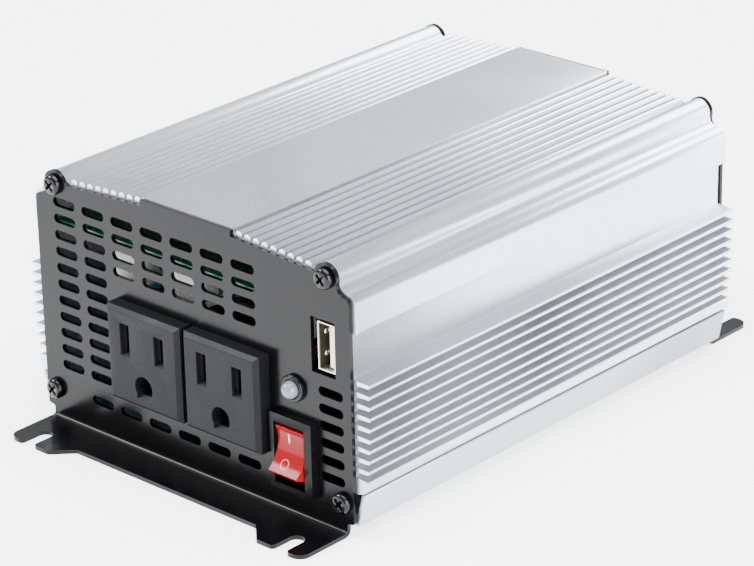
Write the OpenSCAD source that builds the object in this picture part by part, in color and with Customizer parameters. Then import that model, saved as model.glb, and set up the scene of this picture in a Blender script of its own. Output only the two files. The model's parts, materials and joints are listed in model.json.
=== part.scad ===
// Small mains power inverter: a finned two-piece aluminium case between two
// folded steel end panels, with two mains outlets, a USB outlet, a pilot light
// and a rocker switch at the front, and a fan and two battery posts at the rear.
// Millimetres. X is to the right seen from the front, Y runs from front to rear,
// Z is up. The origin is under the middle of the case, on the mounting surface.

/* [Case] */
// Length of the top shell and of the base tray
case_l = 150; // [120:1:200]
// Width over the side walls of the top shell
case_w = 111.8; // [108:0.2:140]
// Height of the shell's flat plateau above the tray's underside
case_h = 70.6; // [68:0.2:90]
// Thickness of the shell's side walls
wall_t = 1.6; // [1.2:0.1:2]
// Width of the plateau along the middle of the shell
plateau_w = 32.8; // [24:0.2:40]
// Number of rounded ridges on each side of the plateau
ridge_count = 9; // [5:1:9]
// Distance from one ridge to the next
ridge_pitch = 3; // [2.4:0.1:3]
// Number of fins on each side
fin_count = 10; // [5:1:10]
// Distance from one fin to the next
fin_pitch = 3; // [2.6:0.1:3]
// How far the upper fins stand out from the wall
fin_reach = 5.8; // [4:0.1:8]
// Height of the tray's sloping side lips
lip_h = 9.3; // [8:0.1:11]

/* [End panels] */
// Thickness of the folded steel sheet
sheet_t = 1.2; // [1:0.1:1.4]
// Width of the end panels and of their feet
panel_w = 113.4; // [109:0.1:140]
// How far the foot tabs reach from the panel's face
foot_reach = 17.2; // [14:0.1:22]
// Distance between the two mounting slots of one panel
slot_spacing = 93.6; // [90:0.1:120]
// Width of a mounting slot
slot_w = 4.4; // [4.4:0.1:5.6]

/* [Ventilation slots] */
// Length of one ventilation slot
vent_l = 8.3; // [6:0.1:9]
// Height of one ventilation slot
vent_h = 2.6; // [2:0.1:3.4]
// Distance from one column of slots to the next
vent_pitch_x = 10.98; // [10:0.01:12]
// Distance from one row of slots to the next
vent_pitch_z = 4.74; // [4.2:0.01:5]

/* [Outlets] */
// Width of an outlet's front face
outlet_w = 24.6; // [22:0.1:26]
// Height of an outlet's front face
outlet_h = 24.8; // [22:0.1:26]
// How far an outlet stands out from the panel
outlet_proud = 4.8; // [3:0.1:8]
// Distance between the two outlets
outlet_spacing = 28.35; // [28.2:0.05:30]
// Distance between the two blade slots of an outlet
blade_spacing = 12.7; // [12.6:0.1:12.8]

/* [Switch, light and USB] */
// Width of the switch bezel
bezel_w = 14.5; // [14:0.1:16]
// Height of the switch bezel
bezel_h = 21; // [20:0.1:22]
// Angle that the rocker turns through
rocker_travel = 30; // [20:1:32]
// Diameter of the pilot light
led_d = 4.7; // [3:0.1:5.4]
// Width of the USB outlet's metal shell
usb_w = 5.7; // [5.6:0.05:5.8]
// Height of the USB outlet's metal shell
usb_h = 13.1; // [12.9:0.05:13.3]

/* [Rear] */
// Side of the square fan
fan_size = 40; // [36:1:42]
// Depth of the fan
fan_depth = 15; // [10:1:20]
// Number of fan blades
fan_blades = 7; // [5:1:9]
// Diameter of the battery posts' studs
stud_d = 6; // [5:0.5:6]
// Distance between the two battery posts
post_spacing = 23; // [21:0.5:24]

/* [Hidden] */

fine = 48;
coarse = 24;
gap = 0.05;           // clearance between pieces that are fitted together

// Levels. The tray hangs between the feet, clear of the mounting surface.
bend_r = 0.8;                               // inside radius of the panels' fold
lift = 3.4;                                 // underside of the tray
top_z = lift + case_h;
floor_t = 1.8;                              // thickness of the tray's floor
floor_z = lift + floor_t;
wall_x = case_w / 2;
inner_x = wall_x - wall_t;
front_y = -case_l / 2 - sheet_t;            // outer face of the front panel
rear_y = -front_y;

// Screw bosses along the shell's four corners
upper_boss_x = wall_x - 6.9;
upper_boss_z = top_z - 4.1;
lower_boss_x = wall_x - 2.9;
lower_boss_z = lift + 6;
lobe_r = 3.6;
lower_boss_r = 2.8;
screw_r = 1.45;                             // shank of the M3 screws
screw_bore_r = screw_r + gap;
screw_l = 10;
head_r = 2.9;
head_h = 1.9;

// Shoulder and eave of the shell
shoulder_x = upper_boss_x + 6.3;
shoulder_z = upper_boss_z - 6;
shoulder_r = 2.8;
eave_x = wall_x + 2.6;
eave_z = top_z - 16.4;
plateau_x = plateau_w / 2;
ridge_drop = 1.3;                           // from the plateau to the ridges' feet
ridge_slope = 0.06;                         // the ridge zones fall away outwards
ridge_r = 1.05;
ridge_end_x = upper_boss_x - 4.25;
ear_fillet_r = 1.4;
fin_top_z = top_z - 30.1;
fin_tip_t = 0.9;
fin_root_t = 1.25;

// Main board, held in grooves of the shell's side walls
board_t = 1.6;
board_z = top_z - 18;                       // underside, where the parts hang
board_l = case_l - 6;
board_x = inner_x - 0.4;
rail_t = 1.2;
rail_reach = 2.2;

// Tray screws
tray_screw_x = wall_x - 7.8;
flange_in_x = wall_x - 11.4;                // inner edge of the shell's foot flanges
tray_screw_y = case_l / 2 - 20;
flange_top_z = floor_z + floor_t;

// Front panel layout, from the panel's middle and from the tray's underside
outlet_mid_x = 0.875;
outlet_z = lift + 26.45;
outlet_edge = 1.2;                          // width of the bevel round the face
outlet_body_w = 24.2;
outlet_body_l = 21;
usb_x = wall_x - 7.6;
usb_z = lift + 47.3;
usb_l = 14;
led_x = wall_x - 18.7;
led_z = lift + 33.2;
switch_x = wall_x - 18.55;
switch_z = lift + 15;
vent_x = -wall_x + 10.24;                   // first column
vent_z = top_z - 9;                         // first row

// Rear panel layout
fan_x = wall_x - 30;
fan_z = lift + 29;
fan_inner_r = fan_size / 2 - 1;
fan_hole_d = fan_size - 8;                  // distance between the fan's fixing holes
post_x = -wall_x + 32;
post_z = lift + 30;
stud_r = stud_d / 2;

// ---------------------------------------------------------------- helpers

function arc(c, r, a0, a1, n = 8) =
    [for (i = [0:n]) let (a = a0 + (a1 - a0) * i / n) [c[0] + r * cos(a), c[1] + r * sin(a)]];
function mirrored(pts) = [for (i = [len(pts) - 1:-1:0]) [-pts[i][0], pts[i][1]]];
function heading(a, b) = atan2(b[1] - a[1], b[0] - a[0]);

// Centre of a circle of radius r that touches two others from outside, on the
// left of the line from the first to the second.
function touching(c1, r1, c2, r2, r) =
    let (d = norm(c2 - c1), a = ((r1 + r) ^ 2 - (r2 + r) ^ 2 + d * d) / (2 * d),
         h = sqrt((r1 + r) ^ 2 - a * a), u = (c2 - c1) / d)
    c1 + a * u + h * [-u[1], u[0]];

// Right half of the outline over a corner: a fillet up to the round ear, the ear,
// a hollow curve and the shoulder, down to the heading end_a on the shoulder.
function ear_outline(ear, ear_r, foot_z, hollow_r, shoulder, s_r, end_a) =
    let (f = [ear[0] - sqrt((ear_r + ear_fillet_r) ^ 2 - (foot_z + ear_fillet_r - ear[1]) ^ 2),
              foot_z + ear_fillet_r],
         h = touching(ear, ear_r, shoulder, s_r, hollow_r))
    concat(arc(f, ear_fillet_r, -90, heading(f, ear), 4),
           arc(ear, ear_r, 180 + heading(f, ear), heading(ear, h), 16),
           arc(h, hollow_r, 180 + heading(ear, h), 360 + heading(h, shoulder), 8),
           arc(shoulder, s_r, 180 + heading(h, shoulder), end_a, 6));

// Extrude an outline drawn in X and Z along Y.
module along_y(y0, y1) {
    translate([0, y1, 0]) rotate([90, 0, 0]) linear_extrude(y1 - y0) children();
}

// Extrude an outline drawn in Y and Z along X.
module along_x(x0, x1) {
    translate([x0, 0, 0]) rotate([90, 0, 90]) linear_extrude(x1 - x0) children();
}

module rod_y(x, z, r, y0, y1, sides = fine) {
    translate([x, y0, z]) rotate([-90, 0, 0]) cylinder(h = y1 - y0, r = r, $fn = sides);
}

module block(x0, x1, y0, y1, z0, z1) {
    translate([x0, y0, z0]) cube([x1 - x0, y1 - y0, z1 - z0]);
}

module obround(l, h) {
    for (s = [-1, 1]) translate([s * (l - h) / 2, 0]) circle(r = h / 2, $fn = coarse);
    square([l - h, h], center = true);
}

// Pan head screw along +Y: the head's seat is at y = 0, the head towards -Y.
module pan_screw(shank_l) {
    difference() {
        rotate([-90, 0, 0]) rotate_extrude($fn = fine)
            polygon(concat([[0, shank_l], [screw_r, shank_l], [screw_r, 0], [head_r, 0]],
                           arc([head_r - 1.2, -head_h + 1.2], 1.2, 0, -70, 5),
                           [[0, -head_h - 0.05]]));
        for (a = [45, 135]) rotate([0, a, 0]) translate([-1.7, -head_h - 0.6, -0.35]) cube([3.4, 1.7, 0.7]);
    }
}

// The four corner screws of one end panel, seen from the front.
module corner_screws() {
    for (s = [-1, 1]) {
        translate([s * upper_boss_x, front_y, upper_boss_z]) pan_screw(screw_l);
        translate([s * lower_boss_x, front_y, lower_boss_z]) pan_screw(screw_l);
    }
}

// Turn a piece of the front end into its twin at the rear.
module rear_side() {
    rotate([0, 0, 180]) children();
}

// Smooth route through hand-picked points, and a round tube along it.
function route_point(p, i, t) =
    let (a = p[max(i - 1, 0)], b = p[i], c = p[i + 1], d = p[min(i + 2, len(p) - 1)])
    0.5 * (2 * b + (c - a) * t + (2 * a - 5 * b + 4 * c - d) * t * t + (3 * b - a - 3 * c + d) * t * t * t);
function route(p, steps) =
    concat([for (i = [0:len(p) - 2], k = [0:steps - 1]) route_point(p, i, k / steps)], [p[len(p) - 1]]);
function unit(v) = v / norm(v);
function carry(n, t) = unit(n - (n * t) * t);
function frames(p, n, i = 0) =
    i == len(p) ? [] :
    let (t = unit(p[min(i + 1, len(p) - 1)] - p[max(i - 1, 0)]), m = carry(n, t))
    concat([[m, cross(t, m)]], frames(p, m, i + 1));

module tube(points, r, steps = 4, sides = 8) {
    p = route(points, steps);
    f = frames(p, unit(cross(p[1] - p[0], [0.31, 0.62, 0.72])));
    n = len(p);
    ring = [for (i = [0:n - 1], k = [0:sides - 1])
        p[i] + r * (cos(360 * k / sides) * f[i][0] + sin(360 * k / sides) * f[i][1])];
    sides_f = [for (i = [0:n - 2], k = [0:sides - 1]) let (a = i * sides + k, b = i * sides + (k + 1) % sides)
        each [[a, b, a + sides], [b, b + sides, a + sides]]];
    caps = [[for (k = [sides - 1:-1:0]) k], [for (k = [0:sides - 1]) (n - 1) * sides + k]];
    polyhedron(ring, [for (x = concat(sides_f, caps)) [for (j = [len(x) - 1:-1:0]) x[j]]]);
}

// ------------------------------------------------------------------- case

function ridge_foot(x) = top_z - ridge_drop - (x - plateau_x) * ridge_slope;

// Outline of one fin, from the wall out to its blunt tip and back.
function fin(k) =
    let (tip = wall_x + fin_reach - 0.27 * max(0, k - 5), z = fin_top_z - k * fin_pitch,
         taper = (fin_root_t - fin_tip_t) / 2)
    [[wall_x, z + taper], [tip - 0.2, z], [tip, z - 0.2], [tip, z - fin_tip_t + 0.2],
     [tip - 0.2, z - fin_tip_t], [wall_x, z - fin_tip_t - taper]];

// The lowest fin is a ledge that rounds over down to the top of the tray's lip.
function ledge() =
    let (tip = wall_x + fin_reach - 0.27 * max(0, fin_count - 6), z = fin_top_z - (fin_count - 1) * fin_pitch,
         seam = [wall_x + 2.9, lift + lip_h + 0.4])
    concat([[wall_x, z + 0.2], [tip - 0.2, z]],
           [for (a = [0:15:90]) [seam[0] + (tip - seam[0]) * cos(a), z - 0.2 - (z - 0.2 - seam[1]) * sin(a)]],
           [[wall_x, seam[1] - 0.9]]);

function shell_outer() = concat(
    [[plateau_x, top_z], [plateau_x, ridge_foot(plateau_x)]],
    ear_outline([upper_boss_x, upper_boss_z], lobe_r, ridge_foot(ridge_end_x), 2.7,
                [shoulder_x, shoulder_z], shoulder_r, 10),
    [[eave_x, eave_z], [eave_x, eave_z - 0.6], [wall_x, eave_z - 1.3]],
    [for (k = [0:fin_count - 2]) each fin(k)], ledge(),
    [[wall_x, floor_z]]);

function shell_inner() = [
    [flange_in_x, floor_z], [flange_in_x, flange_top_z], [inner_x, flange_top_z],
    [inner_x, board_z - 0.2 - rail_t], [inner_x - rail_reach, board_z - 0.2 - rail_t],
    [inner_x - rail_reach, board_z - 0.2], [inner_x, board_z - 0.2],
    [inner_x, board_z + board_t + 0.2], [inner_x - rail_reach, board_z + board_t + 0.2],
    [inner_x - rail_reach, board_z + board_t + 0.2 + rail_t], [inner_x, board_z + board_t + 0.2 + rail_t],
    [inner_x, top_z - 11.1], [upper_boss_x + 2.6, top_z - 8.4], [upper_boss_x - 2.4, top_z - 7.7],
    [upper_boss_x - 4.4, top_z - 5], [plateau_x + 0.8, top_z - 3.4], [plateau_x - 0.6, top_z - 2.3]];

module shell_blank() {
    outer = shell_outer();
    inner = shell_inner();
    along_y(-case_l / 2, case_l / 2) polygon(concat(outer, inner, mirrored(inner), mirrored(outer)));
    for (s = [-1, 1]) {
        shell_rod(s * lower_boss_x, lower_boss_z, lower_boss_r);
        for (k = [0:ridge_count - 1]) {
            x = plateau_x + 1.9 + k * ridge_pitch;
            shell_rod(s * x, ridge_foot(x) + 0.15, ridge_r);
        }
    }
}

// Rod along the whole shell, or past both of its ends.
module shell_rod(x, z, r, past = 0) {
    rod_y(x, z, r, -case_l / 2 - past, case_l / 2 + past);
}

module top_shell() color("#c9ced6") {
    difference() {
        shell_blank();
        for (s = [-1, 1]) {
            shell_rod(s * upper_boss_x, upper_boss_z, screw_bore_r, 1);
            shell_rod(s * lower_boss_x, lower_boss_z, screw_bore_r, 1);
        }
        for (sx = [-1, 1], sy = [-1, 1]) translate([sx * tray_screw_x, sy * tray_screw_y, floor_z - 1])
            cylinder(h = floor_t + 2, r = screw_bore_r, $fn = fine);
    }
}

module base_tray() color("#c4c9d1") {
    half = [[wall_x + 1.4, lift], [wall_x + 3.9, lift + lip_h - 0.3], [wall_x + 3.6, lift + lip_h],
            [wall_x + 2.7, lift + lip_h], [wall_x + 0.5, floor_z + 0.6], [wall_x + 0.1, floor_z]];
    difference() {
        along_y(-case_l / 2, case_l / 2) polygon(concat(half, mirrored(half)));
        for (sx = [-1, 1], sy = [-1, 1]) translate([sx * tray_screw_x, sy * tray_screw_y, lift - 1])
            cylinder(h = floor_t + 2, r = screw_r + 0.25, $fn = fine);
    }
}

module tray_screws() color("#26282b") {
    for (sx = [-1, 1], sy = [-1, 1]) translate([sx * tray_screw_x, sy * tray_screw_y, lift])
        rotate([90, 0, 0]) pan_screw(5.5);
}

// ------------------------------------------------------------- end panels

fold_z = sheet_t + bend_r;                  // where the fold meets the upright part
neck_x = panel_w / 2 - 2.3;                 // half width of the fold between its relief notches
tab_in_x = slot_spacing / 2 - 8.5;
tab_root_x = slot_spacing / 2 - 13.5;
mid_reach = foot_reach - 5.5;
slot_end_y = foot_reach - 6.3;              // middle of the slot's round end

module panel_outline() {
    x = panel_w / 2;
    plateau_step = plateau_x - 0.1;
    edge_z = ridge_foot(ridge_end_x) - 0.5;
    right = concat(
        [[plateau_step, top_z - 0.2], [plateau_step, ridge_foot(plateau_x) - 0.5]],
        ear_outline([upper_boss_x, upper_boss_z], lobe_r + 0.3, edge_z, 2.4,
                    [x - 1.6, top_z - 9.6], 1.6, 0),
        arc([x - 0.8, lift + 1.3], 0.8, 0, -90, 4),
        arc([neck_x + 0.9, lift - 0.4], 0.9, 90, 180, 4), [[neck_x, fold_z]]);
    polygon(concat(right, mirrored(right)));
}

module fold() {
    c = [front_y - bend_r, fold_z];
    polygon(concat(arc(c, bend_r + sheet_t, 0, -90, 8), arc(c, bend_r, -90, 0, 8)));
}

// Outline of the foot, drawn with +Y as the distance from the panel's face.
module foot_outline() {
    s = slot_spacing / 2;
    right = concat(
        [[neck_x, bend_r]],
        arc([neck_x - 3.2, foot_reach - 3.2], 3.2, 0, 90, 6),
        arc([tab_in_x + 0.9, foot_reach - 0.9], 0.9, 90, 140, 3),
        [[tab_root_x, mid_reach]]);
    difference() {
        polygon(concat(right, mirrored(right)));
        for (side = [-1, 1]) translate([side * s, slot_end_y]) {
            circle(r = slot_w / 2, $fn = fine);
            translate([-slot_w / 2, 0]) square([slot_w, 20]);
            slot_mouth();
        }
    }
}

// Rounded corners where a mounting slot opens at the end of its tab.
module slot_mouth() {
    r = 1.2;
    for (side = [-1, 1]) translate([side * slot_w / 2, foot_reach - slot_end_y]) difference() {
        translate([-r, -r]) square([2 * r, 2 * r]);
        translate([side * r, -r]) circle(r = r, $fn = coarse);
        translate([side > 0 ? r : -r - 1, -r - 1]) square([1, 2 * r + 2]);
    }
}

module end_panel_blank() {
    difference() {
        along_y(front_y, front_y + sheet_t) panel_outline();
        for (s = [-1, 1]) {
            rod_y(s * upper_boss_x, upper_boss_z, screw_r + 0.25, front_y - 1, front_y + 3);
            rod_y(s * lower_boss_x, lower_boss_z, screw_r + 0.25, front_y - 1, front_y + 3);
        }
    }
    along_x(-neck_x, neck_x) fold();
    translate([0, front_y, 0]) mirror([0, 1, 0]) linear_extrude(sheet_t) foot_outline();
}

module vent(x, z) {
    translate([x, z]) obround(vent_l, vent_h);
}

module front_vents() {
    for (c = [0:6], r = [0:3]) vent(vent_x + c * vent_pitch_x, vent_z - r * vent_pitch_z);
    for (c = [0, 1], r = [4:10]) vent(vent_x + c * vent_pitch_x, vent_z - r * vent_pitch_z);
    for (c = [1:6]) vent(vent_x + c * vent_pitch_x, lift + 6.9);
    for (r = [0:5]) vent(wall_x - 6.1, lift + 35.2 - r * vent_pitch_z);
}

module front_panel() color("#2c2d30") {
    difference() {
        end_panel_blank();
        along_y(front_y - 1, front_y + sheet_t + 1) {
            front_vents();
            for (x = outlet_xs()) translate([x, outlet_z])
                square([outlet_body_w + 2 * gap, outlet_body_w + 2 * gap], center = true);
            translate([usb_x - 0.7, usb_z]) square([usb_w + 2.4, usb_h + 2.1], center = true);
            translate([switch_x, switch_z]) square([bezel_w - 2 + 2 * gap, bezel_h - 2 + 2 * gap], center = true);
        }
        rod_y(led_x, led_z, led_d / 2 + 0.8 + gap, front_y - 1, front_y + 3);
    }
}

// Stamped slots of the fan's grille: three rings, each in four quarters.
module fan_grille() {
    for (q = [0:3]) rotate(90 * q + 45) intersection() {
        union() for (r = [7.5:3.6:fan_inner_r - 2]) difference() {
            circle(r = r + 2.2, $fn = fine);
            circle(r = r, $fn = fine);
        }
        translate([1.6, 1.6]) square(40);
    }
}

module rear_panel() color("#2c2d30") {
    difference() {
        rear_side() end_panel_blank();
        along_y(rear_y - sheet_t - 1, rear_y + 1) {
            translate([fan_x, fan_z]) fan_grille();
            for (c = [0:3], r = [0:2]) vent(vent_x + 1.5 + c * vent_pitch_x, vent_z - r * vent_pitch_z);
            for (c = [0:3]) vent(vent_x + 1.5 + c * vent_pitch_x, lift + 6.9);
        }
        for (sx = [-1, 1], sz = [-1, 1])
            rod_y(fan_x + sx * fan_hole_d / 2, fan_z + sz * fan_hole_d / 2, screw_r + 0.25, rear_y - 3, rear_y + 1);
        for (x = post_xs()) rod_y(x, post_z, bush_sleeve_r + gap, rear_y - 3, rear_y + 1);
    }
}

module front_panel_screws() color("#1c1d1f") corner_screws();
module rear_panel_screws() color("#1c1d1f") rear_side() corner_screws();

// ---------------------------------------------------------------- outlets

function outlet_xs() = [outlet_mid_x - outlet_spacing / 2, outlet_mid_x + outlet_spacing / 2];

slot_mid_z = 4.9;                           // middle of the blade slots above the outlet's middle
neutral_h = 9.2;
line_h = 8.4;
mouth_w = 3.4;                              // width of a slot's flared mouth
mouth_d = 1.6;
throat_w = 2;
ground_r = 3.2;
ground_z = -7.1;

module bevelled_block(w, h, edge, y_face, y_back) {
    intersection() {
        along_y(y_face, y_back) square([w + 2 * edge, h + 2 * edge], center = true);
        translate([0, 0, -h]) linear_extrude(2 * h) polygon([
            [-w / 2, y_face], [w / 2, y_face], [w / 2 + edge, y_face + edge], [w / 2 + edge, y_back],
            [-w / 2 - edge, y_back], [-w / 2 - edge, y_face + edge]]);
        along_x(-w, w) polygon([
            [y_face, -h / 2], [y_face + edge, -h / 2 - edge], [y_back, -h / 2 - edge],
            [y_back, h / 2 + edge], [y_face + edge, h / 2 + edge], [y_face, h / 2]]);
    }
}

// Blade slot: a wide mouth whose lower end slopes outwards, then a narrow throat.
module blade_slot(x, h, y) {
    along_x(x - mouth_w / 2, x + mouth_w / 2) polygon([
        [y - 1, slot_mid_z + h / 2], [y + mouth_d, slot_mid_z + h / 2],
        [y + mouth_d, slot_mid_z - h / 2 + 1], [y, slot_mid_z - h / 2], [y - 1, slot_mid_z - h / 2]]);
    block(x - throat_w / 2, x + throat_w / 2, y, y + 16, slot_mid_z - h / 2 + 1, slot_mid_z + h / 2);
}

module ground_hole(y) {
    difference() {
        rod_y(0, ground_z, ground_r, y - 1, y + 16);
        block(-ground_r - 1, ground_r + 1, y - 2, y + 17, ground_z - ground_r - 1, ground_z - 2.5);
    }
    along_x(-ground_r + 0.6, ground_r - 0.6) polygon([
        [y - 1, ground_z], [y + 1.4, ground_z], [y + 1.4, ground_z - 2.5], [y, ground_z - 3.5], [y - 1, ground_z - 3.5]]);
}

module outlet() {
    y = -outlet_proud;
    difference() {
        union() {
            bevelled_block(outlet_w, outlet_h, outlet_edge, y, 0);
            block(-outlet_body_w / 2, outlet_body_w / 2, 0, outlet_body_l, -outlet_body_w / 2, outlet_body_w / 2);
        }
        blade_slot(-blade_spacing / 2, neutral_h, y);
        blade_slot(blade_spacing / 2, line_h, y);
        ground_hole(y);
        // chambers behind the slots, where the contacts sit
        for (s = [-1, 1]) block(s * blade_spacing / 2 - 2, s * blade_spacing / 2 + 2, 4, outlet_body_l + 1, -0.6, 10.4);
        block(-4, 4, 4, outlet_body_l + 1, ground_z - 4, ground_z + 4.4);
    }
}

module at_outlet(i) {
    translate([outlet_xs()[i], front_y, outlet_z]) children();
}

module outlet_left() color("#33343a") at_outlet(0) outlet();
module outlet_right() color("#33343a") at_outlet(1) outlet();

// Spring contacts: a folded pair of leaves for each blade and a U for the ground pin.
module outlet_contacts() {
    for (s = [-1, 1]) {
        for (side = [-1, 1]) block(s * blade_spacing / 2 + side * 1.3 - 0.3, s * blade_spacing / 2 + side * 1.3 + 0.3,
                                   6, 18, 1, 8.8);
        block(s * blade_spacing / 2 - 1.6, s * blade_spacing / 2 + 1.6, 17.4, 18, 1, 8.8);
        block(s * blade_spacing / 2 - 0.4, s * blade_spacing / 2 + 0.4, 18, 27, 2.6, 7.4);
    }
    for (side = [-1, 1]) block(side * 2.9 - 0.3, side * 2.9 + 0.3, 6, 18, ground_z - 2.6, ground_z + 2.6);
    block(-3.2, 3.2, 17.4, 18, ground_z - 2.6, ground_z + 2.6);
    block(-2.4, 2.4, 18, 27, ground_z - 0.4, ground_z + 0.4);
}

module outlet_left_contacts() color("#c9a44c") at_outlet(0) outlet_contacts();
module outlet_right_contacts() color("#c9a44c") at_outlet(1) outlet_contacts();

// -------------------------------------------------------------------- USB

usb_wall = 0.3;
usb_y = front_y + 0.5;
usb_board_x = usb_x + usb_w / 2 + gap;
tongue_t = 1.84;
tongue_x = usb_x + 1.3;

module usb_shell() color("#d8d9dc") {
    difference() {
        block(usb_x - usb_w / 2, usb_x + usb_w / 2, usb_y, usb_y + usb_l, usb_z - usb_h / 2, usb_z + usb_h / 2);
        block(usb_x - usb_w / 2 + usb_wall, usb_x + usb_w / 2 - usb_wall, usb_y - 1, usb_y + usb_l - usb_wall,
              usb_z - usb_h / 2 + usb_wall, usb_z + usb_h / 2 - usb_wall);
        for (s = [-1, 1]) translate([usb_x - usb_w / 2 - 1, usb_y + 6, usb_z + s * 3])
            block(0, 2, -2.2, 2.2, -1.1, 1.1);
    }
    // round dimples of the two spring leaves
    for (s = [-1, 1]) {
        block(usb_x - usb_w / 2, usb_x - usb_w / 2 + usb_wall, usb_y + 3.8, usb_y + 7.4, usb_z + s * 3 - 0.8, usb_z + s * 3 + 0.8);
        translate([usb_x - usb_w / 2 + 0.1, usb_y + 5, usb_z + s * 3]) rotate([0, 90, 0])
            cylinder(h = 1.1, r = 1, $fn = coarse);
    }
}

module usb_tongue() color("#e9e6da") {
    block(tongue_x - tongue_t / 2, tongue_x + tongue_t / 2, usb_y + 0.9, usb_y + usb_l - 2, usb_z - 5.55, usb_z + 5.55);
    block(usb_x - usb_w / 2 + usb_wall + gap, usb_x + usb_w / 2 - usb_wall - gap, usb_y + usb_l - 2,
          usb_y + usb_l - usb_wall - gap, usb_z - usb_h / 2 + usb_wall + gap, usb_z + usb_h / 2 - usb_wall - gap);
}

module usb_contacts() color("#d4b04a") {
    x = tongue_x - tongue_t / 2;
    for (z = [-3.5, -1, 1, 3.5]) block(x - 0.2, x, usb_y + 1.6, usb_y + 10, usb_z + z - 0.5, usb_z + z + 0.5);
}

module usb_board() color("#1d5c38") {
    block(usb_board_x, usb_board_x + 0.8, front_y + sheet_t + 0.5, front_y + 28, usb_z - 12, usb_z + 6.8);
    block(usb_board_x - 2.4, usb_board_x, front_y + 19, front_y + 24, usb_z - 9, usb_z - 4);
    translate([usb_board_x, front_y + 21, usb_z + 1]) rotate([0, -90, 0]) cylinder(h = 5, r = 2.5, $fn = coarse);
}

// ------------------------------------------------------------ pilot light

module led_lens() color([0.86, 0.88, 0.92, 0.8]) {
    r = led_d / 2;
    translate([led_x, front_y, led_z]) rotate([-90, 0, 0]) rotate_extrude($fn = fine)
        polygon(concat([[0, 4], [r + 0.4, 4], [r + 0.4, 3], [r, 3]], arc([0, -1.6], r, 0, -90, 8)));
    for (s = [-1, 1]) translate([led_x + s * 1.27 - 0.25, front_y + 4, led_z - 0.25]) cube([0.5, 12, 0.5]);
}

module led_bezel() color("#17181a") {
    r = led_d / 2;
    translate([led_x, front_y, led_z]) rotate([-90, 0, 0]) rotate_extrude($fn = fine)
        polygon(concat([[r + gap, -1], [r + 0.25, -1.3], [r + 1, -1.3]], arc([r + 1, -0.8], 0.5, -90, 0, 3),
                       [[r + 1.5, 0], [r + 0.8, 0], [r + 0.8, 2.9], [r + gap, 2.9]]));
}

// ----------------------------------------------------------------- switch

rocker_w = bezel_w - 4.7;
rocker_half = bezel_h * 0.3;                // height of each half of the rocker's face
rocker_hollow = 2.1;                        // depth of the face's hollow curve
rocker_reach = 4;                           // from the pivot to the middle of the face
pivot_y = front_y + 1.75;
pin_r = 1.15;
housing_l = 14;
cavity_w = bezel_w - 4;
cavity_h = bezel_h - 3.9;
bezel_lip = 0.8;                            // the bezel's inner edge stands out further

module switch_housing() color("#1a1b1d") translate([switch_x, 0, switch_z]) {
    y = front_y;
    difference() {
        union() {
            bevelled_bezel();
            block(-bezel_w / 2 + 1, bezel_w / 2 - 1, y, y + housing_l, -bezel_h / 2 + 1, bezel_h / 2 - 1);
        }
        block(-cavity_w / 2, cavity_w / 2, y - 3, y + 10, -cavity_h / 2, cavity_h / 2);
        translate([-bezel_w, pivot_y, 0]) rotate([0, 90, 0]) cylinder(h = 2 * bezel_w, r = pin_r + gap, $fn = fine);
    }
}

// Frame that slopes up from its outer edge to the opening.
module bevelled_bezel() {
    rise = [2.3, 3];
    intersection() {
        translate([0, 0, -bezel_h]) linear_extrude(2 * bezel_h) polygon([
            [-bezel_w / 2, front_y], [-bezel_w / 2, front_y - rise[0]], [-cavity_w / 2 + 0.3, front_y - rise[1]],
            [cavity_w / 2 - 0.3, front_y - rise[1]], [bezel_w / 2, front_y - rise[0]], [bezel_w / 2, front_y]]);
        along_x(-bezel_w, bezel_w) polygon([
            [front_y, -bezel_h / 2], [front_y - rise[0], -bezel_h / 2], [front_y - rise[1], -cavity_h / 2 + 0.3],
            [front_y - rise[1], cavity_h / 2 - 0.3], [front_y - rise[0], bezel_h / 2], [front_y, bezel_h / 2]]);
    }
}

// Side view of the rocker about its pivot, level in its frame; it is then tipped
// by half its travel, so that the upper half lies flat and the lower half stands out.
module switch_rocker() color("#c8262b") translate([switch_x, pivot_y, switch_z])
    rotate([-rocker_travel / 2, 0, 0]) {
        end_y = -rocker_reach - rocker_hollow;
        end_z = rocker_half - 0.4;
        face_r = (end_z ^ 2 + rocker_hollow ^ 2) / (2 * rocker_hollow);
        swing = asin(end_z / face_r);
        along_x(-rocker_w / 2, rocker_w / 2) polygon(concat(
            [[-1, rocker_half + 0.5], [end_y + 0.5, rocker_half + 0.1]],
            arc([-rocker_reach - face_r, 0], face_r, swing, -swing, 16),
            [[end_y + 0.5, -rocker_half - 0.1], [-1, -rocker_half - 0.5], [1.6, -2.2], [1.6, 2.2]]));
        translate([-rocker_w / 2 - 0.9, 0, 0]) rotate([0, 90, 0]) cylinder(h = rocker_w + 1.8, r = pin_r, $fn = fine);
    }

module switch_terminals() color("#c9c2a8") translate([switch_x, front_y + housing_l, switch_z])
    for (z = [-5.5, 0, 5.5]) difference() {
        block(-2.4, 2.4, 0, 7.5, z - 0.4, z + 0.4);
        translate([0, 5, z - 1]) cylinder(h = 2, r = 0.8, $fn = coarse);
    }

// ------------------------------------------------------- board and its parts

board_y0 = -board_l / 2;
parts_z = board_z;                          // parts hang from the board's underside
core_l = 34;
core_w = 30;
core_h = 27;
core_ys = [-22, 18];
core_x = -10;

// The board is notched at the corner where the USB outlet stands.
module main_board() color("#1f6b3c") difference() {
    block(-board_x, board_x, board_y0, board_y0 + board_l, board_z, board_z + board_t);
    block(usb_x - 6, board_x + 1, board_y0 - 1, front_y + 29, board_z - 1, board_z + board_t + 1);
}

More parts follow.
